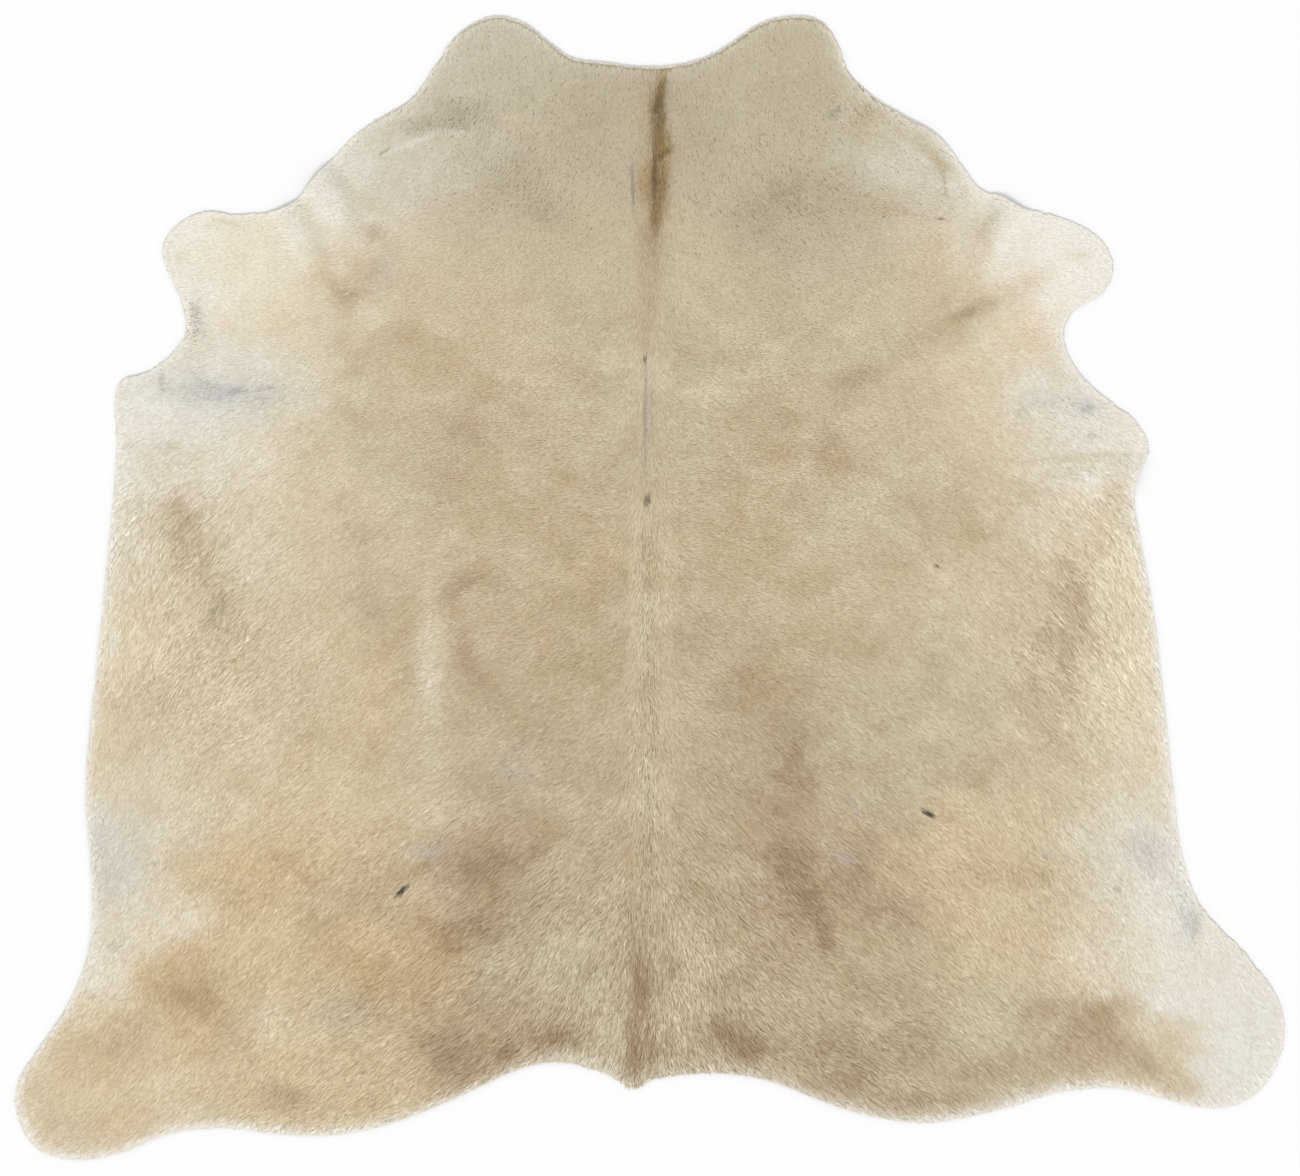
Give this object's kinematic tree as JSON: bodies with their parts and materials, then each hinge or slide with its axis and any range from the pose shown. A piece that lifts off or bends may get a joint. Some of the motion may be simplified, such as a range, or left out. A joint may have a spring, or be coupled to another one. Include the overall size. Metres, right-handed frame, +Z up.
{
  "type": "cowhide rug",
  "caption": "Whole tanned cowhide with its short coat left on, laid flat on the floor as a rug, tan with cream legs and brown and grey patches.",
  "frame": {"origin": "on the floor, in the middle of the hide's box", "axes": "+Z up out of the coat, +Y along the spine towards the neck, +X across the hide to the right as seen from above with the neck away from the viewer"},
  "size_m": [2.2, 1.9848, 0.0165],
  "materials": {
    "hide": "short lying coat, soft satin, with a suede underside"
  },
  "bodies": {
    "root": {"cowhide": "hide"}
  },
  "joints": []
}
